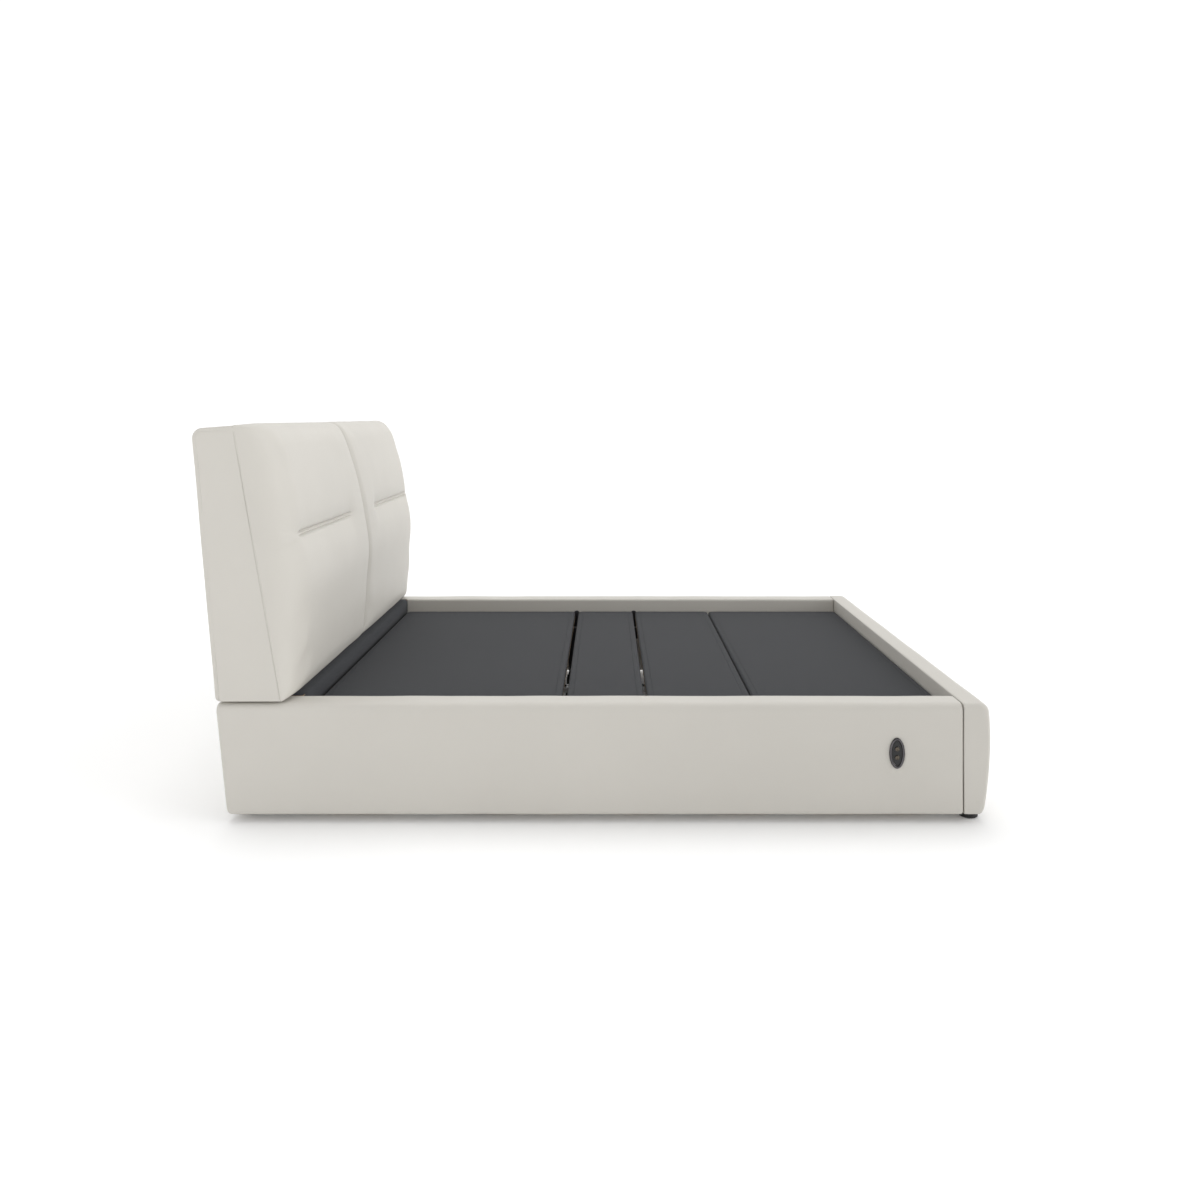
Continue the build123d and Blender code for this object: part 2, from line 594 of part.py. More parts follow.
# --- Foot support links -----------------------------------------------------------------
LINK_Y, LINK_Z = LINK_BASE_PIN
with BuildPart() as link_mounts:
    for name, side in SIDES:
        block(span(side, 632, FRAME_TUBE_X[0]), (LINK_Y - 22, LINK_Y + 22), (LINK_Z - 12, FRAME_TOP))
        disc(span(side, LINK_X[0] - 6, 633), LINK_BASE_PIN, PIVOT_R)
        disc(span(side, LINK_X[0] - 7, LINK_X[0] - 2), LINK_BASE_PIN, PIVOT_R + 4)
        disc(span(side, LINK_X[1] + 2, 632), LINK_BASE_PIN, PIVOT_R + 4)
save(link_mounts, "foot_link_mounts")

LINK_LENGTH = hypot(LINK_FOOT_PIN[0] - LINK_BASE_PIN[0], LINK_FOOT_PIN[1] - LINK_BASE_PIN[1])
with BuildPart() as foot_links:
    for name, side in SIDES:
        link_x = span(side, *LINK_X)
        direction = (0, LINK_FOOT_PIN[0] - LINK_Y, LINK_FOOT_PIN[1] - LINK_Z)
        along = Plane(origin=(sum(link_x) / 2, LINK_Y, LINK_Z), x_dir=(1, 0, 0), z_dir=direction)
        with Locations(along.location):
            Box(8, 24, LINK_LENGTH, align=(Align.CENTER, Align.CENTER, Align.MIN))
        for pivot in (LINK_BASE_PIN, LINK_FOOT_PIN):
            disc(link_x, pivot, 16)
        disc(link_x, LINK_BASE_PIN, PIVOT_R + RUNNING_FIT, mode=Mode.SUBTRACT)
        disc(span(side, LINK_X[0] - 4, LINK_X[0]), LINK_FOOT_PIN, 9)
save(foot_links, "foot_links")

with BuildPart() as foot_link_lugs:
    for name, side in SIDES:
        lug_x = span(side, 594, FOOT_TUBE_X[0])
        lug_y, lug_z = LINK_FOOT_PIN
        side_plate(
            lug_x,
            [
                (lug_y - LUG_R + 1, lug_z),
                (lug_y + LUG_R - 1, lug_z),
                (lug_y + 35, SECTION_BOTTOM),
                (lug_y + 35, BOARD_BOTTOM - 1),
                (lug_y - 35, BOARD_BOTTOM - 1),
                (lug_y - 35, SECTION_BOTTOM),
            ],
        )
        disc(lug_x, LINK_FOOT_PIN, LUG_R)
        disc(span(side, LINK_X[1] + 1.5, 594), LINK_FOOT_PIN, PIVOT_R + 2)
save(foot_link_lugs, "foot_link_lugs")

# --- Electrics under the seat section ---------------------------------------------------
with BuildPart() as control_box:
    block((-430, -270), (-105, 5), (BOARD_BOTTOM - 38, BOARD_BOTTOM))
    fillet(control_box.edges().filter_by(Axis.Z), 8)
    chamfer(control_box.faces().sort_by(Axis.Z)[0].edges(), 2)
save(control_box, "control_box")

INLET_Z = (BOARD_BOTTOM - 33, BOARD_BOTTOM - 9)
with BuildPart() as power_supply:
    block((270, 420), (-95, -5), (BOARD_BOTTOM - 42, BOARD_BOTTOM))
    fillet(power_supply.edges().filter_by(Axis.Z), 8)
    block((398, 421), (-66, -34), INLET_Z, mode=Mode.SUBTRACT)
save(power_supply, "power_supply")

with BuildPart() as power_inlet:
    block((398, 422), (-66, -34), INLET_Z)
    block((402, 423), (-62, -38), (INLET_Z[0] + 4, INLET_Z[1] - 4), mode=Mode.SUBTRACT)
    for y in (-57, -50, -43):
        block((402, 418), (y - 1, y + 1), (INLET_Z[0] + 9, INLET_Z[0] + 14))
save(power_inlet, "power_inlet")

# --- Side switch ------------------------------------------------------------------------
FACE_X = -HALF_WIDTH - 2.5
with BuildPart() as switch_housing:
    oval_plate((-HALF_WIDTH + 2, -HALF_WIDTH + 30), SWITCH_WIDTH - 6, SWITCH_HEIGHT - 6)
    oval_plate((-HALF_WIDTH + 1, -HALF_WIDTH + 27), SWITCH_WIDTH - 11, SWITCH_HEIGHT - 11, mode=Mode.SUBTRACT)
save(switch_housing, "switch_housing")

with BuildPart() as switch_bezel:
    oval_plate((-HALF_WIDTH - 6, -HALF_WIDTH - 0.2), SWITCH_WIDTH, SWITCH_HEIGHT)
    fillet(switch_bezel.faces().sort_by(Axis.X)[0].edges(), 3.5)
    oval_plate((-HALF_WIDTH - 7, -HALF_WIDTH + 1), SWITCH_WIDTH - 17, SWITCH_HEIGHT - 19, mode=Mode.SUBTRACT)
save(switch_bezel, "switch_bezel")

BUTTON_SPOTS = (
    ("up_button", (SWITCH_Y, SWITCH_Z + BUTTON_SPACING / 2)),
    ("down_button", (SWITCH_Y, SWITCH_Z - BUTTON_SPACING / 2)),
)
with BuildPart() as switch_face:
    oval_plate((FACE_X, -HALF_WIDTH), SWITCH_WIDTH - 17.5, SWITCH_HEIGHT - 19.5)
    oval_plate((-HALF_WIDTH, -HALF_WIDTH + 1.5), SWITCH_WIDTH - 12, SWITCH_HEIGHT - 12)
    for name, spot in BUTTON_SPOTS:
        disc((FACE_X - 1, -HALF_WIDTH + 3), spot, BUTTON_R + 0.4, mode=Mode.SUBTRACT)
save(switch_face, "switch_face")

for name, spot in BUTTON_SPOTS:
    with BuildPart() as button:
        disc((FACE_X - 2.8, -HALF_WIDTH + 10), spot, BUTTON_R)
        fillet(button.edges().filter_by(GeomType.CIRCLE).group_by(Axis.X)[0], 1.2)
    save(button, name)
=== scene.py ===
import json
import math

import bmesh
import bpy
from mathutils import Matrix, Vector, bvhtree, noise


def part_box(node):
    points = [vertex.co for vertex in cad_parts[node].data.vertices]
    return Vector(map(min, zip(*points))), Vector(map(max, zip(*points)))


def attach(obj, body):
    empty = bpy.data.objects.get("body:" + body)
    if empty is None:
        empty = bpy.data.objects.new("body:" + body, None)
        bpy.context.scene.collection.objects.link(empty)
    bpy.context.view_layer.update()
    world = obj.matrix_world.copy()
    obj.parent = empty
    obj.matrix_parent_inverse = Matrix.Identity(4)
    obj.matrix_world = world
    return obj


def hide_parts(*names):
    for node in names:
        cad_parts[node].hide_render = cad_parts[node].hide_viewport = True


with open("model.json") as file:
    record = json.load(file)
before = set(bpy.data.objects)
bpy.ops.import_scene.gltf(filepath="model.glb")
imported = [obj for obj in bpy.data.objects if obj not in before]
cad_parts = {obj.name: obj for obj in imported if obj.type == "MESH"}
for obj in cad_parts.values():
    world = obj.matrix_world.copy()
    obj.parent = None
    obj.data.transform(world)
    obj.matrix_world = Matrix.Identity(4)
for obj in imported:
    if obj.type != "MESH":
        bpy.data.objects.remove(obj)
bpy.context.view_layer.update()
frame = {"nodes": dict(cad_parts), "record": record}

# Adjustable bed base: leather covers, cushions, deck cloth, materials, light and camera.
# Metres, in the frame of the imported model: +X across, +Y to the headboard, +Z up.

SIDES = (("left", -1), ("right", 1))
rail_low, rail_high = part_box("right_rail_pad")
foot_low, foot_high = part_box("footboard_pad")
side_low, side_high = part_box("headboard_right_side")

# --- Measures of the covers ---------------------------------------------------------------
HALF_WIDTH = rail_high.x
RAIL_TOP = rail_high.z
RAIL_INNER = rail_low.x - 0.002     # the leather lies over the core board's inner face
RAIL_EDGE = 0.020
RAIL_END = 0.008
RAIL_REAR_END = 0.018
FOOT_END = 0.012
FOOT_FULLEST = 0.25                 # height at which the footboard bulges most
REAR_LEAN = 0.036                   # the rear edge's top stands this far behind its foot
# Corners of the headboard's side, as (Y, Z): the seam is at the front, the back behind it.
SEAM_BOTTOM = Vector((side_low.y, side_low.z))
SEAM_TOP = Vector((1.091, side_high.z + 0.006))
BACK_BOTTOM = Vector((1.144, side_low.z))
BACK_TOP = Vector((side_high.y + 0.003, side_high.z - 0.003))
CREASE_Z = 0.868
CREASE_X = (0.195, 0.755)           # ends of the tuck, from the bed's middle
STITCH_GAP = 0.012                  # between the tuck's two rows of stitches
THREAD_RADIUS = 0.00055


# --- Mesh helpers -------------------------------------------------------------------------
def new_object(name, bm, material):
    """A linked object made from a bmesh, with one material."""
    mesh = bpy.data.meshes.new(name)
    bm.to_mesh(mesh)
    bm.free()
    mesh.materials.append(material)
    piece = bpy.data.objects.new(name, mesh)
    bpy.context.scene.collection.objects.link(piece)
    return piece


def soften(piece, subdivide=1):
    """Smooth shading, and subdivision where it is wanted."""
    for polygon in piece.data.polygons:
        polygon.use_smooth = True
    if subdivide:
        modifier = piece.modifiers.new("smooth", "SUBSURF")
        modifier.levels = subdivide
        modifier.render_levels = subdivide


def mesh_piece(name, bm, material, body, subdivide=1):
    """Turns a bmesh into a smooth piece that rides on a body."""
    bmesh.ops.remove_doubles(bm, verts=bm.verts, dist=1e-5)
    bmesh.ops.recalc_face_normals(bm, faces=bm.faces)
    piece = new_object(name, bm, material)
    soften(piece, subdivide)
    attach(piece, body)
    return piece


def join_rings(bm, rings):
    """Quads between neighbouring closed rings of mesh vertices."""
    count = len(rings[0])
    for a, b in zip(rings, rings[1:]):
        for i in range(count):
            j = (i + 1) % count
            bm.faces.new((a[i], a[j], b[j], b[i]))


def close_ends(bm, rings):
    """A flat face over the first and the last ring."""
    bm.faces.new(list(reversed(rings[0])))
    bm.faces.new(rings[-1])


def round_ring(bm, centre, across, other, radius, sides):
    """A circle of mesh vertices in the plane of two directions."""
    ring = []
    for k in range(sides):
        t = 2 * math.pi * k / sides
        ring.append(bm.verts.new(centre + (across * math.cos(t) + other * math.sin(t)) * radius))
    return ring


def rounded_loop(low, high, radii, spans, steps=7):
    """A closed rounded rectangle. radii go round from the low corner, anticlockwise."""
    corners = [(low[0], low[1]), (high[0], low[1]), (high[0], high[1]), (low[0], high[1])]
    points = []
    arcs = []
    for i, (x, y) in enumerate(corners):
        r = radii[i]
        inward_x = 1 if x == low[0] else -1
        inward_y = 1 if y == low[1] else -1
        start = math.pi * (1 + i / 2)
        arc = []
        for k in range(steps):
            angle = start + math.pi / 2 * k / (steps - 1)
            centre = (x + inward_x * r, y + inward_y * r)
            arc.append(Vector((centre[0] + r * math.cos(angle), centre[1] + r * math.sin(angle))))
        arcs.append(arc)
    for i, arc in enumerate(arcs):
        points += arc
        following = arcs[(i + 1) % 4][0]
        count = spans[i % 2]
        points += [arc[-1].lerp(following, k / count) for k in range(1, count)]
    return points


def nearest_on(point, start, end):
    """The nearest point of a straight segment."""
    run = end - start
    share = max(0.0, min(1.0, (point - start).dot(run) / run.length_squared))
    return start + run * share


def skin(bm, rings, spines, puff=0.002, cap_steps=5):
    """Quads over closed rings of points. Each end closes towards its spine segment, slightly domed."""
    caps = []
    for ring, neighbour, spine in ((rings[0], rings[1], spines[0]), (rings[-1], rings[-2], spines[1])):
        middle = (spine[0] + spine[1]) / 2
        outward = sum(ring, Vector()) / len(ring) - sum(neighbour, Vector()) / len(neighbour)
        outward = outward.normalized() if outward.length > 1e-9 else (middle - ring[0]).normalized()
        inner = []
        for k in range(1, cap_steps + 1):
            share = k / cap_steps
            rise = puff * math.sin(math.pi / 2 * share)
            inner.append([p.lerp(nearest_on(p, *spine), share) + outward * rise for p in ring])
        caps.append(inner)
    whole = list(reversed(caps[0])) + rings + caps[1]
    join_rings(bm, [[bm.verts.new(p) for p in ring] for ring in whole])


def end_stations(radius, steps=5):
    """(distance from the end, inset) pairs of a rounded end, from the end inwards."""
    angles = [math.pi / 2 * k / steps for k in range(steps + 1)]
    return [(radius * (1 - math.cos(a)), radius * (1 - math.sin(a))) for a in angles]


def cross_stations(half, radius, count, margin):
    """(X, inset) pairs from one side of the bed to the other, with rounded ends."""
    ends = end_stations(radius)
    stations = [(-half + s, inset) for s, inset in ends]
    stations += [(-half + margin + 2 * (half - margin) * k / count, 0.0) for k in range(1, count)]
    return stations + [(half - s, inset) for s, inset in reversed(ends)]


def ripple(point, size, depth, seed):
    """Slow unevenness of stretched leather."""
    offset = Vector((seed, seed * 0.7, -seed))
    return noise.noise(point / size + offset) * depth


def relax(bm, depth, size, seed):
    """Moves every point a little along its normal, for leather over foam."""
    bm.normal_update()
    for vertex in bm.verts:
        vertex.co += vertex.normal * ripple(vertex.co, size, depth, seed)


def pull_marks(bm, seed):
    """Faint upright puckers where the leather is drawn under the bottom edge."""
    depth = 0.0016
    reach = 0.035
    bm.normal_update()
    for vertex in bm.verts:
        rise = vertex.co.z - rail_low.z
        if abs(vertex.normal.x) > 0.7:
            wave = noise.noise(Vector((vertex.co.y * 13 + seed, rise * 4, seed)))
            vertex.co += vertex.normal * wave * depth * math.exp(-rise / reach)


# --- Materials ----------------------------------------------------------------------------
def new_material(name, roughness, metallic=0.0, specular=0.5):
    material = bpy.data.materials.new(name)
    material.use_nodes = True
    shader = material.node_tree.nodes["Principled BSDF"]
    shader.inputs["Roughness"].default_value = roughness
    shader.inputs["Metallic"].default_value = metallic
    shader.inputs["Specular IOR Level"].default_value = specular
    return material, material.node_tree, shader


def add(tree, kind, **values):
    """A node with its properties and unlinked inputs set."""
    node = tree.nodes.new(kind)
    for key, value in values.items():
        if key in node.inputs:
            node.inputs[key].default_value = value
        else:
            setattr(node, key, value)
    return node


def object_position(tree):
    return add(tree, "ShaderNodeTexCoord").outputs["Object"]


def colour_mix(tree, factor, low, high):
    """A colour between two, by a factor socket."""
    ramp = add(tree, "ShaderNodeValToRGB")
    ramp.color_ramp.elements[0].color = (*low, 1)
    ramp.color_ramp.elements[1].color = (*high, 1)
    tree.links.new(factor, ramp.inputs["Fac"])
    return ramp.outputs["Color"]


def value_range(tree, factor, low, high):
    node = add(tree, "ShaderNodeMapRange")
    node.inputs["To Min"].default_value = low
    node.inputs["To Max"].default_value = high
    tree.links.new(factor, node.inputs["Value"])
    return node.outputs["Result"]


def noise_socket(tree, position, scale, detail=2.0, roughness=0.5):
    node = add(tree, "ShaderNodeTexNoise", Scale=scale, Detail=detail, Roughness=roughness)
    tree.links.new(position, node.inputs["Vector"])
    return node.outputs["Fac"]


def bump(tree, height, distance, strength=1.0, under=None):
    node = add(tree, "ShaderNodeBump", Strength=strength, Distance=distance)
    tree.links.new(height, node.inputs["Height"])
    if under is not None:
        tree.links.new(under, node.inputs["Normal"])
    return node.outputs["Normal"]


def leather(name, colour, shade=0.94):
    """Upholstery leather: pebbled grain, soft wrinkles and a slight mottle."""
    material, tree, shader = new_material(name, 0.48, specular=0.28)
    position = object_position(tree)
    mottle = noise_socket(tree, position, 3.2, 3.0)
    darker = tuple(c * shade for c in colour)
    tree.links.new(colour_mix(tree, mottle, darker, colour), shader.inputs["Base Color"])
    patches = noise_socket(tree, position, 9.0, 4.0)
    tree.links.new(value_range(tree, patches, 0.42, 0.56), shader.inputs["Roughness"])
    cells = add(tree, "ShaderNodeTexVoronoi", Scale=620.0, feature="DISTANCE_TO_EDGE")
    tree.links.new(position, cells.inputs["Vector"])
    pebble = add(tree, "ShaderNodeMapRange")
    pebble.inputs["From Max"].default_value = 0.28
    tree.links.new(cells.outputs["Distance"], pebble.inputs["Value"])
    grain = bump(tree, pebble.outputs["Result"], 0.00016, 0.55)
    creases = noise_socket(tree, position, 70.0, 4.0, 0.6)
    folds = bump(tree, creases, 0.0009, 0.35, grain)
    tree.links.new(folds, shader.inputs["Normal"])
    return material


def woven(name, warp, weft, thread=0.0016):
    """Plain woven cloth: two crossing sets of threads, with flecks."""
    material, tree, shader = new_material(name, 0.86, specular=0.22)
    shader.inputs["Sheen Weight"].default_value = 0.06
    shader.inputs["Sheen Roughness"].default_value = 0.5
    position = object_position(tree)
    waves = []
    for direction in ("X", "Y"):
        wave = add(tree, "ShaderNodeTexWave", Scale=0.314 / thread, bands_direction=direction)
        wave.inputs["Distortion"].default_value = 0.6
        wave.inputs["Detail"].default_value = 1.0
        tree.links.new(position, wave.inputs["Vector"])
        waves.append(wave.outputs["Fac"])
    crossing = add(tree, "ShaderNodeMath", operation="MULTIPLY")
    tree.links.new(waves[0], crossing.inputs[0])
    tree.links.new(waves[1], crossing.inputs[1])
    fleck = noise_socket(tree, position, 260.0, 3.0, 0.7)
    blend = add(tree, "ShaderNodeMath", operation="MULTIPLY_ADD")
    blend.inputs[1].default_value = 0.55
    tree.links.new(crossing.outputs[0], blend.inputs[0])
    tree.links.new(fleck, blend.inputs[2])
    tree.links.new(colour_mix(tree, blend.outputs[0], warp, weft), shader.inputs["Base Color"])
    weave = bump(tree, crossing.outputs[0], 0.0004, 0.6)
    slack = noise_socket(tree, position, 14.0, 3.0)
    tree.links.new(bump(tree, slack, 0.003, 0.25, weave), shader.inputs["Normal"])
    return material


def plywood(name):
    """Birch faces with stretched grain."""
    material, tree, shader = new_material(name, 0.62, specular=0.3)
    position = object_position(tree)
    mapping = add(tree, "ShaderNodeMapping")
    mapping.inputs["Scale"].default_value = (1.2, 22.0, 22.0)
    tree.links.new(position, mapping.inputs["Vector"])
    grain = noise_socket(tree, mapping.outputs["Vector"], 3.0, 6.0, 0.62)
    colour = colour_mix(tree, grain, (0.42, 0.27, 0.14), (0.68, 0.50, 0.31))
    tree.links.new(colour, shader.inputs["Base Color"])
    fine = noise_socket(tree, mapping.outputs["Vector"], 40.0, 3.0)
    tree.links.new(bump(tree, fine, 0.0003, 0.4), shader.inputs["Normal"])
    tree.links.new(value_range(tree, grain, 0.5, 0.7), shader.inputs["Roughness"])
    return material


def coated_metal(name, colour, roughness, metallic=0.0, speckle=900.0, depth=0.00008):
    """Powder coat or plating with a fine orange-peel surface and slow wear in its gloss."""
    material, tree, shader = new_material(name, roughness, metallic)
    position = object_position(tree)
    wear = noise_socket(tree, position, 18.0, 4.0, 0.6)
    darker = tuple(c * 0.82 for c in colour)
    tree.links.new(colour_mix(tree, wear, darker, colour), shader.inputs["Base Color"])
    gloss = value_range(tree, wear, roughness - 0.07, roughness + 0.09)
    tree.links.new(gloss, shader.inputs["Roughness"])
    peel = noise_socket(tree, position, speckle, 2.0)
    tree.links.new(bump(tree, peel, depth, 0.5), shader.inputs["Normal"])
    return material


def moulded(name, colour, roughness):
    """Moulded plastic or rubber with a fine spark-eroded texture."""
    material, tree, shader = new_material(name, roughness, specular=0.4)
    position = object_position(tree)
    dust = noise_socket(tree, position, 30.0, 3.0)
    lighter = tuple(c * 1.25 + 0.004 for c in colour)
    tree.links.new(colour_mix(tree, dust, colour, lighter), shader.inputs["Base Color"])
    spark = noise_socket(tree, position, 1600.0, 2.0)
    tree.links.new(bump(tree, spark, 0.00006, 0.6), shader.inputs["Normal"])
    gloss = value_range(tree, dust, roughness - 0.05, roughness + 0.06)
    tree.links.new(gloss, shader.inputs["Roughness"])
    return material


LEATHER = (0.570, 0.549, 0.505)
cover_leather = leather("cover_leather", LEATHER)
thread_material = woven("stitch_thread", (0.50, 0.48, 0.43), (0.62, 0.60, 0.55), 0.0004)
deck_cloth = woven("deck_cloth", (0.010, 0.0105, 0.012), (0.042, 0.044, 0.049))
SLOT_MATERIALS = {
    "cover_leather": cover_leather,
    "padding": cover_leather,
    "deck_fabric": deck_cloth,
    "plywood": plywood("birch_plywood"),
    "black_steel": coated_metal("black_powder_coat", (0.030, 0.030, 0.033), 0.42),
    "zinc_steel": coated_metal("zinc_plating", (0.58, 0.58, 0.57), 0.34, 1.0, 300.0),
    "actuator_plastic": moulded("actuator_plastic", (0.022, 0.022, 0.024), 0.48),
    "rod_steel": coated_metal("bright_rod", (0.72, 0.72, 0.73), 0.16, 1.0, 500.0, 0.00002),
    "rubber": moulded("black_rubber", (0.014, 0.014, 0.014), 0.72),
    "dark_chrome": coated_metal("dark_chrome", (0.105, 0.100, 0.105), 0.15, 1.0, 400.0, 0.00001),
    "switch_plastic": moulded("switch_plastic", (0.012, 0.012, 0.013), 0.30),
    "button_metal": coated_metal("button_metal", (0.115, 0.100, 0.082), 0.20, 1.0, 700.0, 0.00002),
}
for subpart in frame["record"]["subparts"]:
    node = frame["nodes"][subpart["node"]]
    node.data.materials.clear()
    node.data.materials.append(SLOT_MATERIALS[subpart["material_slot"]])


# --- Side rails ---------------------------------------------------------------------------
def rail_rear_y(z):
    """Y of the rail's leaning rear edge at a height."""
    return rail_high.y - REAR_LEAN * (RAIL_TOP - z) / (RAIL_TOP - rail_low.z)


def rail_cover(name, side):
    """Leather round one side rail: flat outer face, soft top edge, leaning rear end."""
    length_steps = 120
    stations = [("foot", s, inset) for s, inset in end_stations(RAIL_END)]
    stations += [("middle", k / length_steps, 0.0) for k in range(1, length_steps)]
    stations += [("rear", s, inset) for s, inset in reversed(end_stations(RAIL_REAR_END))]
    rings = []
    for kind, place, inset in stations:
        low = (RAIL_INNER + inset * 0.3, rail_low.z + inset * 0.7)
        high = (HALF_WIDTH - inset, RAIL_TOP - inset)
        ring = []
        for x, z in rounded_loop(low, high, (0.006, 0.012, RAIL_EDGE, 0.010), (3, 12)):
            start = rail_low.y
            end = rail_rear_y(z)
            if kind == "foot":
                y = start + place
            elif kind == "rear":
                y = end - place
            else:
                y = start + RAIL_END + (end - start - RAIL_END - RAIL_REAR_END) * place
            ring.append(Vector((side * x, y, z)))
        rings.append(ring)
    spines = []
    for ring in (rings[0], rings[-1]):
        x = side * (HALF_WIDTH + RAIL_INNER) / 2
        bottom = min(ring, key=lambda p: p.z)
        top = max(ring, key=lambda p: p.z)
        spines.append((Vector((x, bottom.y, bottom.z + 0.04)), Vector((x, top.y, top.z - 0.04))))
    bm = bmesh.new()
    skin(bm, rings, spines, 0.001)
    relax(bm, 0.0012, 0.16, 3.0 + side)
    pull_marks(bm, 3.0 + side)
    piece = mesh_piece(f"{name}_rail_cover", bm, cover_leather, "base")
    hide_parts(f"{name}_rail_pad")


for name, side in SIDES:
    rail_cover(name, side)


# --- Footboard ----------------------------------------------------------------------------
def barrel(z):
    """How far the footboard's outer face falls back from its fullest height."""
    if z < FOOT_FULLEST:
        return 0.0128 * ((FOOT_FULLEST - z) / 0.18) ** 2
    return 0.0064 * ((z - FOOT_FULLEST) / 0.11) ** 2


def footboard_cover():
    """Leather round the footboard: barrel-shaped outer face, rounded ends."""
    rings = []
    for x, inset in cross_stations(HALF_WIDTH, FOOT_END, 44, FOOT_END):
        low = (foot_low.y + inset, foot_low.z + inset * 0.7)
        high = (foot_high.y + 0.0016, foot_high.z - inset)
        ring = []
        for y, z in rounded_loop(low, high, (0.026, 0.006, 0.005, 0.024), (3, 12)):
            outer = (high[0] - y) / (high[0] - low[0])
            ring.append(Vector((x, y + barrel(z) * outer ** 2, z)))
        rings.append(ring)
    middle_y = (foot_low.y + foot_high.y) / 2
    spines = [
        (Vector((x, middle_y, foot_low.z + 0.04)), Vector((x, middle_y, foot_high.z - 0.04)))
        for x in (-HALF_WIDTH, HALF_WIDTH)
    ]
    bm = bmesh.new()
    skin(bm, rings, spines, 0.0015)
    relax(bm, 0.0012, 0.15, 8.0)
    piece = mesh_piece("footboard_cover", bm, cover_leather, "base")
    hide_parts("footboard_pad")


footboard_cover()


# --- Rear panel between the rails ---------------------------------------------------------
def rear_cover():
    """Leather over the leaning rear panel, from rail to rail."""
    half = RAIL_INNER + 0.004
    thick = 0.024
    rings = []
    for x, inset in cross_stations(half, 0.006, 36, 0.0):
        ring = []
        low = (inset, rail_low.z + 0.004)
        high = (thick, RAIL_TOP - 0.002)
        for depth, z in rounded_loop(low, high, (0.008, 0.004, 0.004, 0.012), (2, 12)):
            ring.append(Vector((x, rail_rear_y(z) - 0.001 - depth, z)))
        rings.append(ring)
    spines = []
    for x in (-half, half):
        points = [(z, rail_rear_y(z) - thick / 2) for z in (rail_low.z + 0.02, RAIL_TOP - 0.02)]
        spines.append(tuple(Vector((x, y, z)) for z, y in points))
    bm = bmesh.new()
    skin(bm, rings, spines, 0.0)
    relax(bm, 0.0010, 0.14, 12.0)
    piece = mesh_piece("rear_cover", bm, cover_leather, "base")
    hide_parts("rear_panel_pad")


rear_cover()


# --- Headboard shell: flat sides, back and top in one cover -------------------------------
def rounded_polygon(corners, radii, spans, steps=6):
    """A closed convex outline in 2D with rounded corners and points along its sides."""
    arcs = []
    count = len(corners)
    for i, corner in enumerate(corners):
        before = (corners[i - 1] - corner).normalized()
        after = (corners[(i + 1) % count] - corner).normalized()
        half_angle = before.angle(after) / 2
        cut = radii[i] / math.tan(half_angle)
        centre = corner + (before + after).normalized() * radii[i] / math.sin(half_angle)
        first = corner + before * cut - centre
        last = corner + after * cut - centre
        arc = []
        for k in range(steps):
            arc.append(centre + first.lerp(last, k / (steps - 1)).normalized() * radii[i])
        arcs.append(arc)
    points = []
    for i, arc in enumerate(arcs):
        points += arc
        following = arcs[(i + 1) % count][0]
        points += [arc[-1].lerp(following, k / spans[i]) for k in range(1, spans[i])]
    return points


def headboard_shell():
    """One cover over the headboard's flat sides, back and top."""
    end_radius = 0.005
    corners = [SEAM_BOTTOM, BACK_BOTTOM, BACK_TOP, SEAM_TOP]
    outline = rounded_polygon(corners, (0.003, 0.016, 0.030, 0.003), (6, 24, 4, 24))
    spine_2d = (Vector((1.055, 0.47)), Vector((1.135, 1.08)))
    rings = []
    for x, inset in cross_stations(HALF_WIDTH, end_radius, 40, end_radius):
        ring = []
        for p in outline:
            inner = nearest_on(p, *spine_2d)
            q = p + (inner - p).normalized() * inset
            ring.append(Vector((x, q.x, q.y)))
        rings.append(ring)
    spines = [tuple(Vector((x, p.x, p.y)) for p in spine_2d) for x in (-HALF_WIDTH, HALF_WIDTH)]
    bm = bmesh.new()
    skin(bm, rings, spines, 0.0015)
    relax(bm, 0.0012, 0.18, 20.0)
    piece = mesh_piece("headboard_shell", bm, cover_leather, "base")
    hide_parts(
        "headboard_left_side",
        "headboard_right_side",
        "headboard_back_panel",
    )


headboard_shell()


def tube(name, path, radius, material, body, sides=8):
    """A thin round strand along a path of 3D points, closed at its ends."""
    bm = bmesh.new()
    rings = []
    last = len(path) - 1
    across = None
    for i, point in enumerate(path):
        run = (path[min(i + 1, last)] - path[max(i - 1, 0)]).normalized()
        if across is None:
            across = run.orthogonal().normalized()
        across = (across - run * across.dot(run)).normalized()
        other = run.cross(across)
        rings.append(round_ring(bm, point, across, other, radius, sides))
    join_rings(bm, rings)
    close_ends(bm, rings)
    mesh_piece(name, bm, material, body, 0)


def seam_piping():
    """Thin leather piping along the front edge of the headboard's sides and over its top."""
    reach = HALF_WIDTH - 0.0022
    corner = 0.012
    path = []
    for side in (-1, 1):
        run = [SEAM_BOTTOM.lerp(SEAM_TOP, k / 40) for k in range(40)]
        upright = [Vector((side * reach, p.x - 0.0006, p.y + 0.003)) for p in run]
        turn = []
        for k in range(7):
            angle = math.pi / 2 * k / 6
            x = side * (reach - corner + corner * math.cos(angle))
            z = SEAM_TOP.y - corner + corner * math.sin(angle)
            turn.append(Vector((x, SEAM_TOP.x - 0.0006, z)))
        half = upright + turn
        path += half if side < 0 else list(reversed(half))
    # The long top run is filled in between the two turns.
    middle = len(path) // 2
    start, end = path[middle - 1], path[middle]
    fill = [start.lerp(end, k / 60) for k in range(1, 60)]
    tube("headboard_piping", path[:middle] + fill + path[middle:], 0.0024, cover_leather, "base")


seam_piping()


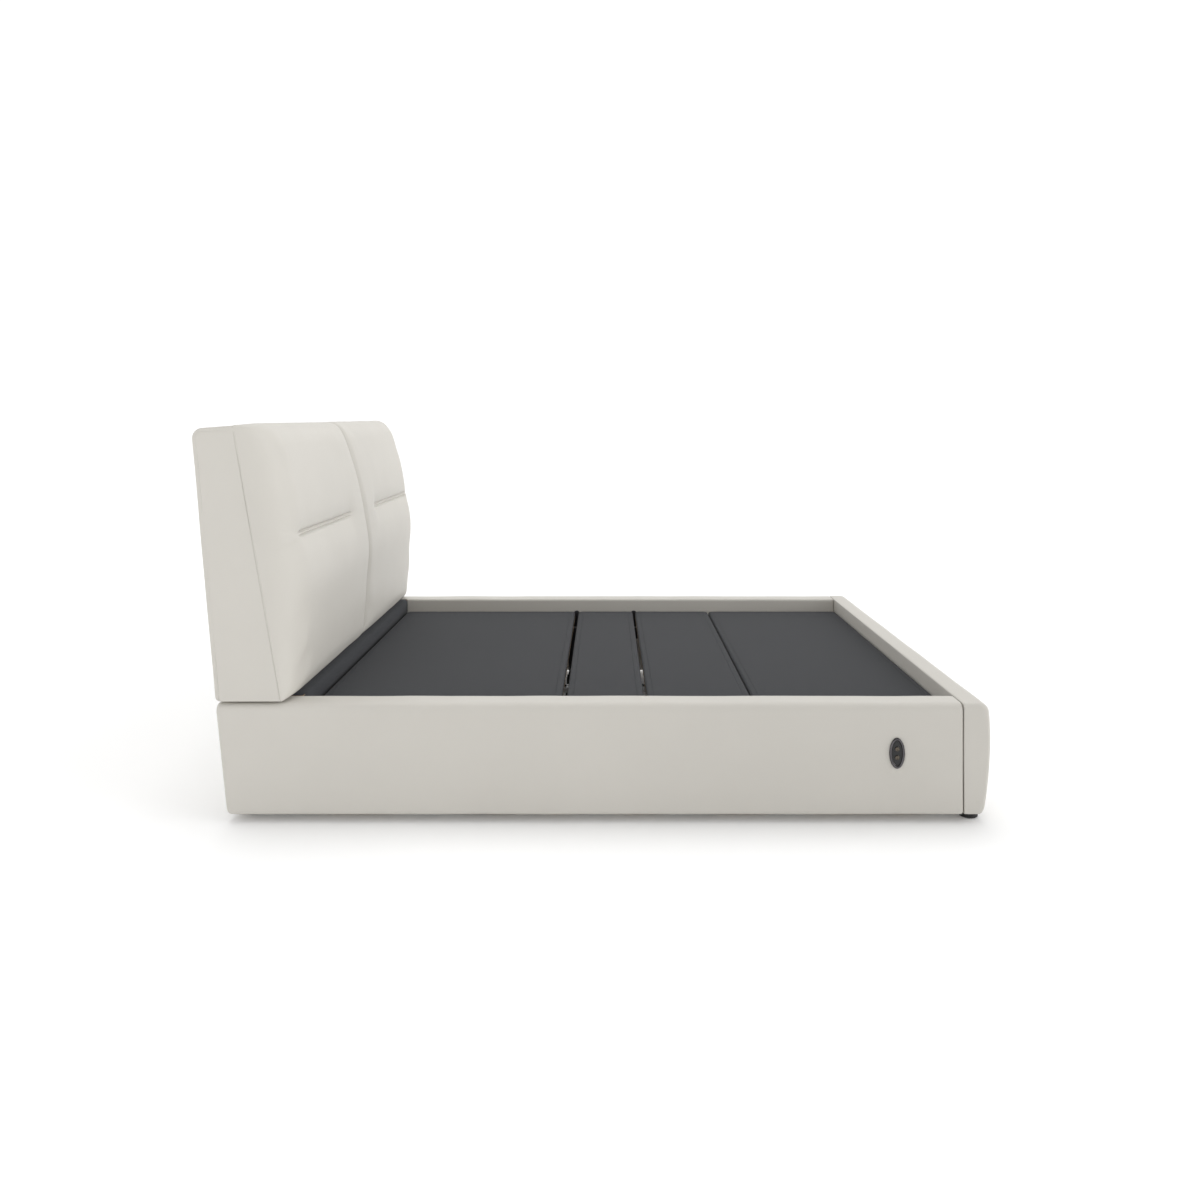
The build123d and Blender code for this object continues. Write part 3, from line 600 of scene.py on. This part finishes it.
def side_seam(name, side):
    """The stitched-down seam that follows the back and the top of a headboard side."""
    inset = 0.013
    bend = 0.030
    lean = (SEAM_TOP - SEAM_BOTTOM).normalized()
    back = (BACK_TOP - BACK_BOTTOM).normalized()
    behind = Vector((back.y, -back.x)) * inset
    top = (SEAM_TOP - BACK_TOP).normalized()
    below = Vector((-top.y, top.x)) * inset
    low = BACK_BOTTOM - behind + back * 0.004
    corner = BACK_TOP - behind - back * bend
    high = BACK_TOP + below + top * bend
    end = SEAM_TOP + below - top * 0.004 - lean * 0.001
    flat = [low.lerp(corner, k / 30) for k in range(30)]
    middle = BACK_TOP - behind + below
    for k in range(9):
        t = k / 8
        flat.append(corner * (1 - t) ** 2 + middle * 2 * t * (1 - t) + high * t * t)
    flat += [high.lerp(end, k / 6) for k in range(1, 7)]
    path = [Vector((side * (HALF_WIDTH - 0.0004), p.x, p.y)) for p in flat]
    tube(f"headboard_{name}_side_seam", path, 0.0013, cover_leather, "base", 6)


for name, side in SIDES:
    side_seam(name, side)


# --- Headboard cushions -------------------------------------------------------------------
def catmull(points, share):
    """A smooth curve through 2D points, share 0 to 1."""
    last = len(points) - 1
    place = min(share * last, last - 1e-9)
    i = int(place)
    t = place - i
    p0 = points[max(i - 1, 0)]
    p1 = points[i]
    p2 = points[i + 1]
    p3 = points[min(i + 2, last)]
    square = 2 * p0 - 5 * p1 + 4 * p2 - p3
    cube = 3 * p1 - p0 - 3 * p2 + p3
    return 0.5 * (2 * p1 + (p2 - p0) * t + square * t * t + cube * t ** 3)


def spaced(points, step, fine_step, fine_height, fine_reach):
    """Points along a smooth curve, closer together near one height."""
    samples = [catmull(points, k / 4000) for k in range(4001)]
    result = [samples[0]]
    travelled = 0.0
    for before, after in zip(samples, samples[1:]):
        travelled += (after - before).length
        near = abs(after.y - fine_height) < fine_reach
        if travelled >= (fine_step if near else step):
            result.append(after)
            travelled = 0.0
    if travelled < step / 2:
        result.pop()
    return result + [samples[-1]]


# The crown's side profile, (Y, Z), from the bottom seam over the front to the top seam.
CROWN = [
    Vector(p)
    for p in (
        (SEAM_BOTTOM.x, SEAM_BOTTOM.y),
        (0.9190, 0.3735),
        (0.9070, 0.4000),
        (0.9000, 0.4800),
        (0.8945, 0.6000),
        (0.8890, 0.7300),
        (0.9050, 0.8600),
        (0.9300, 0.9800),
        (0.9570, 1.0850),
        (0.9815, 1.1600),
        (1.0060, 1.2000),
        (1.0400, 1.2190),
        (1.0700, 1.2185),
        (SEAM_TOP.x, SEAM_TOP.y + 0.001),
    )
]
COLUMNS = 78
SIDE_ROUND = 0.105      # width over which the cushion rounds back to its outer seam
VALLEY_ROUND = 0.028    # the same at the middle of the bed
VALLEY_DEPTH = 0.024    # how far the line between the cushions lies behind their crown
crown_line = spaced(CROWN, 0.0095, 0.0024, CREASE_Z, 0.016)
ROWS = len(crown_line) - 1
seam_line = []
for row, point in enumerate(crown_line):
    # The last rows crowd together below the seam's top, where the crown stands higher than it.
    share = (point.y - SEAM_BOTTOM.y) / (SEAM_TOP.y - SEAM_BOTTOM.y)
    seam_line.append(SEAM_BOTTOM.lerp(SEAM_TOP, min(share, 1 - 0.0008 * (ROWS - row))))


def column_places():
    """(distance from the bed's middle, share of the crown, drop behind it) for each column."""
    places = []
    inner_steps = 10
    outer_steps = 20
    start = 0.0015
    for k in range(inner_steps + 1):
        angle = math.pi / 2 * k / inner_steps
        drop = VALLEY_DEPTH * (1 - math.sin(angle))
        places.append((start + VALLEY_ROUND * (1 - math.cos(angle)), 1.0, drop))
    flat = HALF_WIDTH - SIDE_ROUND - VALLEY_ROUND - start
    flat_steps = COLUMNS - inner_steps - outer_steps
    for k in range(1, flat_steps):
        places.append((start + VALLEY_ROUND + flat * k / flat_steps, 1.0, 0.0))
    for k in range(outer_steps, -1, -1):
        angle = math.pi / 2 * k / outer_steps
        x = HALF_WIDTH - 0.0006 - SIDE_ROUND * (1 - math.cos(angle))
        places.append((x, math.sin(angle) ** 0.85, 0.0))
    return places


def smoothstep(value):
    value = max(0.0, min(1.0, value))
    return value * value * (3 - 2 * value)


def tuck(x, z):
    """(depth, nearness) of the sewn tuck at a place on the cushion. x counts from the bed's middle."""
    beyond = max(CREASE_X[0] - x, x - CREASE_X[1], 0.0)
    fade = 1 - smoothstep(beyond / 0.030)
    wide_fade = 1 - smoothstep(beyond / 0.075)
    off = abs(z - CREASE_Z)
    wide = 0.013 * wide_fade * math.exp(-((off / 0.055) ** 1.3))
    grooves = 0.0080 * fade * math.exp(-(((off - STITCH_GAP / 2) / 0.0032) ** 2))
    return wide + grooves, fade


def cushion_front(bm, places, side):
    """Columns of vertices over the crowned front, and whether each vertex is sewn down."""
    grid = []
    pinned = []
    for x, share, drop in places:
        column = []
        for r in range(ROWS + 1):
            seam, crown = seam_line[r], crown_line[r]
            point = seam.lerp(crown, share)
            depth, fade = tuck(x, point.y)
            stand = (crown - seam).length
            forward = (crown - seam).normalized() if stand > 1e-6 else Vector((0, 0))
            near_edge = min(1.0, stand / 0.04)
            point = point - forward * (depth * share + drop) * near_edge
            column.append(bm.verts.new((side * x, point.x, point.y)))
            on_tuck = fade > 0.98 and abs(point.y - CREASE_Z) < 0.014
            pinned.append(r in (0, ROWS) or share < 0.05 or x == places[0][0] or on_tuck)
        grid.append(column)
    return grid, pinned


def cushion_form(side):
    """The closed form of one cushion, and the indices of its sewn vertices."""
    places = column_places()
    bm = bmesh.new()
    grid, pinned = cushion_front(bm, places, side)
    back = []
    for column, place in zip(grid[:-1], places):
        inside = [bm.verts.new((side * place[0], p.x, p.y)) for p in seam_line[1:-1]]
        pinned += [True] * len(inside)
        back.append([column[0]] + inside + [column[ROWS]])
    back.append(grid[-1])
    for a, b in list(zip(grid, grid[1:])) + list(zip(reversed(back[1:]), reversed(back[:-1]))):
        for r in range(ROWS):
            bm.faces.new((a[r], a[r + 1], b[r + 1], b[r]))
    for r in range(ROWS):
        corners = [grid[0][r + 1], grid[0][r], back[0][r], back[0][r + 1]]
        bm.faces.new(list(dict.fromkeys(corners)))
    bmesh.ops.recalc_face_normals(bm, faces=bm.faces)
    return bm, [i for i, fixed in enumerate(pinned) if fixed]


def cushion(name, side):
    """One headboard cushion: a crowned form, inflated, with a sewn tuck across it."""
    bm, sewn = cushion_form(side)
    piece = new_object(name, bm, cover_leather)
    inflate(piece, sewn)
    finish_leather(piece.data, side)
    soften(piece)
    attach(piece, "base")
    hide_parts(name.replace("_leather", ""))
    return piece


def inflate(piece, fixed, pressure=4.0, cap=0.004):
    """Cloth simulation of a filled cushion. Its swell is kept along the normals, at most cap."""
    scene = bpy.context.scene
    steps = 20
    rest = [v.co.copy() for v in piece.data.vertices]
    group = piece.vertex_groups.new(name="sewn")
    group.add(fixed, 1.0, "REPLACE")
    modifier = piece.modifiers.new("cloth", "CLOTH")
    settings = modifier.settings
    settings.quality = 4
    settings.mass = 0.4
    settings.tension_stiffness = 8
    settings.compression_stiffness = 6
    settings.shear_stiffness = 4
    settings.bending_stiffness = 1.5
    settings.use_pressure = True
    settings.uniform_pressure_force = pressure
    settings.vertex_group_mass = "sewn"
    settings.effector_weights.gravity = 0
    modifier.collision_settings.use_collision = False
    modifier.point_cache.frame_start = 1
    modifier.point_cache.frame_end = steps
    for step in range(1, steps + 1):
        scene.frame_set(step)
    evaluated = piece.evaluated_get(bpy.context.evaluated_depsgraph_get())
    moved = [v.co.copy() for v in evaluated.data.vertices]
    piece.modifiers.remove(modifier)
    piece.vertex_groups.clear()
    scene.frame_set(1)
    swell = [(end - start).dot(v.normal) for v, start, end in zip(piece.data.vertices, rest, moved)]
    swell = evened(piece.data, [max(-cap, min(cap, value)) for value in swell], set(fixed), 10)
    shifts = [v.normal * value for v, value in zip(piece.data.vertices, swell)]
    # The vertices haven't moved yet, so every normal above is still that of the sewn form.
    for vertex, start, shift in zip(piece.data.vertices, rest, shifts):
        vertex.co = start + shift


def evened(mesh, values, fixed, rounds):
    """Values at the vertices, averaged with their neighbours some rounds, the fixed ones kept."""
    neighbours = [[] for v in mesh.vertices]
    for edge in mesh.edges:
        a, b = edge.vertices
        neighbours[a].append(b)
        neighbours[b].append(a)
    for _ in range(rounds):
        means = [sum(values[n] for n in around) / len(around) for around in neighbours]
        values = [v if i in fixed else (v + m) / 2 for i, (v, m) in enumerate(zip(values, means))]
    return values


def finish_leather(mesh, side):
    """Puckers beside the tuck, the fold that runs on from it, and slow unevenness."""
    normals = [v.normal.copy() for v in mesh.vertices]
    for vertex, normal in zip(mesh.vertices, normals):
        x, y, z = abs(vertex.co.x), vertex.co.y, vertex.co.z
        if normal.y > 0.2:
            continue
        away = abs(z - CREASE_Z)
        inside = smoothstep((x - CREASE_X[0] + 0.03) / 0.05)
        inside *= smoothstep((CREASE_X[1] + 0.03 - x) / 0.05)
        gathers = noise.noise(Vector((x * 46, z * 7, side * 4.0)))
        pucker = gathers * 0.0016 * inside * math.exp(-away / 0.030) * smoothstep(away / 0.010)
        run = (x - CREASE_X[1]) / (HALF_WIDTH - CREASE_X[1])
        fold_z = CREASE_Z - 0.028 * run
        fold = 0.0
        if run > 0:
            fold = 0.0034 * (1 - 0.7 * run) * math.exp(-(((z - fold_z) / 0.009) ** 2))
        slow = ripple(vertex.co, 0.17, 0.0018, 30.0 + side)
        vertex.co += normal * (pucker + fold + slow)


def stitch(bm, start, end, lift):
    """One short thread lying on the leather between two points."""
    run = end - start
    across = run.orthogonal().normalized()
    other = run.normalized().cross(across)
    rings = []
    for share, width in ((0.0, 0.25), (0.12, 0.85), (0.5, 1.0), (0.88, 0.85), (1.0, 0.25)):
        centre = start + run * share + lift * math.sin(math.pi * share)
        rings.append(round_ring(bm, centre, across, other, THREAD_RADIUS * width, 6))
    join_rings(bm, rings)
    close_ends(bm, rings)


def surface_point(tree, x, z):
    """The point on a cushion's front at a place, found by a ray from the foot end."""
    return tree.ray_cast(Vector((x, 0.5, z)), Vector((0, 1, 0)))[0]


def tuck_stitches(name, side, piece):
    """Two rows of stitches along the tuck."""
    tree = bvhtree.BVHTree.FromObject(piece, bpy.context.evaluated_depsgraph_get())
    pitch = 0.0055
    count = int((CREASE_X[1] - CREASE_X[0]) / pitch)
    bm = bmesh.new()
    for row in (-1, 1):
        z = CREASE_Z + row * STITCH_GAP / 2
        for k in range(count):
            x = side * (CREASE_X[0] + pitch * k)
            start = surface_point(tree, x, z)
            end = surface_point(tree, x + side * pitch * 0.72, z)
            stitch(bm, start, end, Vector((0, -0.0004, 0)))
    mesh_piece(f"headboard_{name}_tuck_stitches", bm, thread_material, "base", 0)


for name, side in SIDES:
    leather_piece = cushion(f"headboard_{name}_cushion_leather", side)
    tuck_stitches(name, side, leather_piece)


# --- Switch on the near rail ----------------------------------------------------------------
def oval_rings(node, profile, segments=72):
    """Rings round a node's oval outline. The profile holds (inset, X) pairs."""
    low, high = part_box(node)
    middle_y = (low.y + high.y) / 2
    middle_z = (low.z + high.z) / 2
    half_y = (high.y - low.y) / 2
    half_z = (high.z - low.z) / 2
    bm = bmesh.new()
    rows = []
    for inset, x in profile:
        row = []
        for k in range(segments):
            t = 2 * math.pi * k / segments
            y = middle_y + (half_y - inset) * math.cos(t)
            z = middle_z + (half_z - inset) * math.sin(t)
            row.append(bm.verts.new((x, y, z)))
        rows.append(row)
    join_rings(bm, rows)
    return bm, rows


def switch_bezel():
    """The rounded metal rim."""
    low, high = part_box("switch_bezel")
    front = low.x
    back = high.x
    profile = []
    width = 0.0085
    for k in range(17):
        angle = math.pi * k / 16
        inset = width / 2 * (1 - math.cos(angle))
        profile.append((inset, back + (front - back) * math.sin(angle) ** 0.7))
    profile.append((width - 0.0006, back))
    bm, rows = oval_rings("switch_bezel", profile)
    join_rings(bm, [rows[-1], rows[0]])
    piece = mesh_piece("switch_rim", bm, SLOT_MATERIALS["dark_chrome"], "base")
    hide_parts("switch_bezel")


def switch_button(node, body):
    """A dished metal button with a fine raised ring."""
    low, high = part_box(node)
    front = low.x
    radius = (high.z - low.z) / 2
    heights = [
        (0.0, high.x),
        (0.0, front + 0.0012),
        (0.0002, front + 0.0005),
        (0.0008, front),
        (0.0016, front),
        (0.0021, front + 0.0005),
        (0.0030, front + 0.0008),
        (0.0036, front + 0.0004),
        (0.0041, front + 0.0009),
        (radius - 0.0006, front + 0.0013),
    ]
    bm, rows = oval_rings(node, heights, 40)
    close_ends(bm, rows)
    piece = mesh_piece(f"{node}_cap", bm, SLOT_MATERIALS["button_metal"], body, 0)
    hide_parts(node)


switch_bezel()
switch_button("up_button", "up_key")
switch_button("down_button", "down_key")


# --- Deck: cloth-covered panels -----------------------------------------------------------
def deck_panel(section, body):
    """Cloth stretched over one board of the deck, with soft edges and a slight crown."""
    low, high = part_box(f"{section}_pad")
    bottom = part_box(f"{section}_board")[0].z + 0.0004
    rim = 0.009
    rings = []
    levels = [(bottom, 0.0), (bottom + 0.008, -0.0004), (high.z - rim, -0.0004)]
    levels += [(high.z - s, inset - 0.0004) for s, inset in reversed(end_stations(rim))]
    for z, inset in levels:
        corner_low = (low.x + inset, low.y + inset)
        corner_high = (high.x - inset, high.y - inset)
        loop = rounded_loop(corner_low, corner_high, (0.010,) * 4, (30, 12), 5)
        rings.append([Vector((p.x, p.y, z)) for p in loop])
    width = (high.y - low.y) / 2
    middle = (low.y + high.y) / 2
    reach = high.x - width
    bm = bmesh.new()
    spines = []
    for ring in (rings[0], rings[-1]):
        z = ring[0].z
        spines.append((Vector((-reach, middle, z)), Vector((reach, middle, z))))
    skin(bm, rings, spines, 0.0012, 8)
    piece = mesh_piece(f"{section}_deck_cloth", bm, deck_cloth, body)
    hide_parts(f"{section}_pad")
    deck_border(section, body, piece, low, high)


def deck_border(section, body, panel, low, high, inset=0.022):
    """A corded seam that runs round a deck panel a little inside its edge."""
    tree = bvhtree.BVHTree.FromObject(panel, bpy.context.evaluated_depsgraph_get())
    corner_low = (low.x + inset, low.y + inset)
    corner_high = (high.x - inset, high.y - inset)
    loop = rounded_loop(corner_low, corner_high, (0.014,) * 4, (70, 24), 5)
    path = []
    for point in loop + loop[:1]:
        above = Vector((point.x, point.y, 1.0))
        surface = tree.ray_cast(above, Vector((0, 0, -1)))[0]
        path.append(surface - Vector((0, 0, 0.0003)))
    tube(f"{section}_deck_seam", path, 0.0011, deck_cloth, body, 6)


for section, body in (
    ("head", "head_section"),
    ("seat", "base"),
    ("thigh", "thigh_section"),
    ("foot", "foot_section"),
):
    deck_panel(section, body)


def ledge_cloth():
    """Lining cloth over the ledge between the mattress and the headboard."""
    low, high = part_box("headboard_shelf")
    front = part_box("recess_head_board")[0].y
    half = RAIL_INNER + 0.0005
    steps = 30
    outline = [
        Vector((front - 0.0015, low.z - 0.010)),
        Vector((front + 0.010, low.z - 0.010)),
        Vector((front + 0.012, high.z - 0.008)),
        Vector((high.y - 0.004, high.z - 0.008)),
        Vector((high.y - 0.004, high.z + 0.0014)),
        Vector((front - 0.0015, high.z + 0.0014)),
    ]
    bm = bmesh.new()
    rows = []
    for k in range(steps + 1):
        x = -half + 2 * half * k / steps
        sag = 0.0006 * math.sin(math.pi * k / steps)
        rows.append([bm.verts.new((x, p.x, p.y - sag)) for p in outline])
    join_rings(bm, rows)
    close_ends(bm, rows)
    edges = [e for e in bm.edges if abs(e.verts[0].co.x - e.verts[1].co.x) > 0.001]
    bmesh.ops.bevel(bm, geom=edges, offset=0.003, segments=3, affect="EDGES")
    piece = mesh_piece("head_ledge_cloth", bm, deck_cloth, "base", 0)


ledge_cloth()


# --- Floor, world, lights, camera ---------------------------------------------------------
def new_light(name, kind, direction, energy):
    """A linked light that shines in a direction."""
    data = bpy.data.lights.new(name, kind)
    data.energy = energy
    light = bpy.data.objects.new(name, data)
    bpy.context.scene.collection.objects.link(light)
    light.rotation_mode = "QUATERNION"
    light.rotation_quaternion = direction.to_track_quat("-Z", "Y")
    return light


def area_light(name, location, target, size, energy):
    """A square soft box that faces its target."""
    light = new_light(name, "AREA", Vector(target) - Vector(location), energy)
    light.data.shape = "RECTANGLE"
    light.data.size = size
    light.data.size_y = size
    light.location = location


def sun_light(name, direction, strength, spread):
    """Even soft light from one side. The spread is in degrees."""
    light = new_light(name, "SUN", Vector(direction), strength)
    light.data.angle = math.radians(spread)


def studio_sky(tree):
    """A white studio, its raised part a little dimmer on the side the near rail faces."""
    position = add(tree, "ShaderNodeTexCoord").outputs["Generated"]
    parts = add(tree, "ShaderNodeSeparateXYZ")
    tree.links.new(position, parts.inputs["Vector"])
    across = add(tree, "ShaderNodeMapRange")
    across.inputs["From Min"].default_value = -0.20
    across.inputs["From Max"].default_value = 0.60
    tree.links.new(parts.outputs["X"], across.inputs["Value"])
    low_band = add(tree, "ShaderNodeMapRange")
    low_band.inputs["From Min"].default_value = 0.26
    low_band.inputs["From Max"].default_value = 0.12
    tree.links.new(parts.outputs["Z"], low_band.inputs["Value"])
    brighter = add(tree, "ShaderNodeMath", operation="MAXIMUM")
    tree.links.new(across.outputs["Result"], brighter.inputs[0])
    tree.links.new(low_band.outputs["Result"], brighter.inputs[1])
    colour = colour_mix(tree, brighter.outputs[0], (0.55, 0.55, 0.55), (1.10, 1.10, 1.10))
    tree.links.new(colour, tree.nodes["Background"].inputs["Color"])


def floor():
    """A wide pale floor with a faint mottle."""
    bm = bmesh.new()
    half = 95.0
    cuts = 12
    rows = []
    places = [-half + 2 * half * k / cuts for k in range(cuts + 1)]
    for x in places:
        rows.append([bm.verts.new((x, y, 0)) for y in places])
    for i in range(cuts):
        for j in range(cuts):
            bm.faces.new((rows[i][j], rows[i + 1][j], rows[i + 1][j + 1], rows[i][j + 1]))
    material, tree, shader = new_material("pale_floor", 0.9, specular=0.0)
    mottle = noise_socket(tree, object_position(tree), 0.8, 2.0)
    white = colour_mix(tree, mottle, (0.93, 0.93, 0.93), (0.95, 0.95, 0.95))
    tree.links.new(white, shader.inputs["Base Color"])
    shader.inputs["Emission Color"].default_value = (1, 1, 1, 1)
    shader.inputs["Emission Strength"].default_value = 0.05
    piece = new_object("floor", bm, material)


floor()
scene = bpy.context.scene
scene.view_settings.view_transform = "Standard"
world = bpy.data.worlds.new("studio")
scene.world = world
world.use_nodes = True
studio_sky(world.node_tree)
area_light("key", (-4.2, 3.0, 1.7), (-0.86, 0.5, 0.2), 2.4, 30)
sun_light("front", (0.12, 1.0, -0.32), 1.3, 50)
sun_light("overhead", (-0.24, -0.10, -1.0), 0.78, 44)

CAMERA_DISTANCE = 2.844     # from the near rail's outer face
CAMERA_Y = -0.0455
EYE_HEIGHT = 1.239
camera_data = bpy.data.cameras.new("camera")
camera_data.sensor_width = 36.0
camera_data.lens = 28.05
camera_data.shift_x = -0.005
camera_data.shift_y = -0.1533
camera_data.clip_end = 200
camera = bpy.data.objects.new("camera", camera_data)
scene.collection.objects.link(camera)
camera.location = (-HALF_WIDTH - CAMERA_DISTANCE, CAMERA_Y, EYE_HEIGHT)
camera.rotation_euler = (math.pi / 2, 0, -math.pi / 2)
scene.camera = camera
